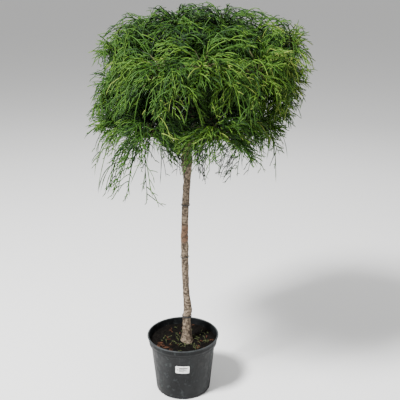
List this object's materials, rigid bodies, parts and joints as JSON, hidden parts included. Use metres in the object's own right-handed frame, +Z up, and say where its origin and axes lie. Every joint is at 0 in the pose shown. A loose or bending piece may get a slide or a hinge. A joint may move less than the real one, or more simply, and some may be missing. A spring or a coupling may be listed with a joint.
{
  "type": "potted weeping cypress standard tree",
  "caption": "Potted weeping cypress: a bare slim grafted trunk in a round plastic nursery pot carries a wide head of hanging thread-like green foliage.",
  "frame": {"origin": "middle of the pot's flat underside", "axes": "+Z up along the trunk, -Y towards the front with the label, +X to the right seen from the front"},
  "size_m": [0.7825, 0.6999, 1.4802],
  "materials": {
    "pot_plastic": "dark grey-black moulded polypropylene, matt, scuffed and dusty",
    "potting_soil": "dark damp potting mix with fine crumbs",
    "label_plastic": "plain white label with plain grey lines",
    "trunk_bark": "grey-brown bark with cross marks and knots",
    "tie_rubber": "dark rubber band",
    "bough_bark": "red-brown young bark",
    "foliage_green": "mid-green scale leaves on thread-like twigs, yellow-green at the tips"
  },
  "bodies": {
    "root": {"pot": "pot_plastic", "soil": "potting_soil", "label": "label_plastic", "trunk": "trunk_bark", "tie_low": "tie_rubber", "tie_mid": "tie_rubber", "tie_high": "tie_rubber", "bough_top_left": "bough_bark", "bough_top_right": "bough_bark", "bough_top_back": "bough_bark", "bough_shoulder_left": "bough_bark", "bough_shoulder_right": "bough_bark", "bough_far_left": "bough_bark", "bough_far_right": "bough_bark", "bough_front_left": "bough_bark", "bough_front_middle": "bough_bark", "bough_front_right": "bough_bark", "bough_back_left": "bough_bark", "bough_back_middle": "bough_bark", "bough_back_right": "bough_bark", "bough_mid_left": "bough_bark", "bough_mid_right": "bough_bark", "bough_low_left": "bough_bark", "bough_low_front_left": "bough_bark", "bough_low_front_right": "bough_bark", "bough_low_right": "bough_bark", "bough_low_back_left": "bough_bark", "bough_low_back_right": "bough_bark", "foliage_top_left": "foliage_green", "foliage_top_right": "foliage_green", "foliage_top_back": "foliage_green", "foliage_shoulder_left": "foliage_green", "foliage_shoulder_right": "foliage_green", "foliage_far_left": "foliage_green", "foliage_far_right": "foliage_green", "foliage_front_left": "foliage_green", "foliage_front_middle": "foliage_green", "foliage_front_right": "foliage_green", "foliage_back_left": "foliage_green", "foliage_back_middle": "foliage_green", "foliage_back_right": "foliage_green", "foliage_mid_left": "foliage_green", "foliage_mid_right": "foliage_green", "foliage_low_left": "foliage_green", "foliage_low_front_left": "foliage_green", "foliage_low_front_right": "foliage_green", "foliage_low_right": "foliage_green", "foliage_low_back_left": "foliage_green", "foliage_low_back_right": "foliage_green"}
  },
  "joints": []
}
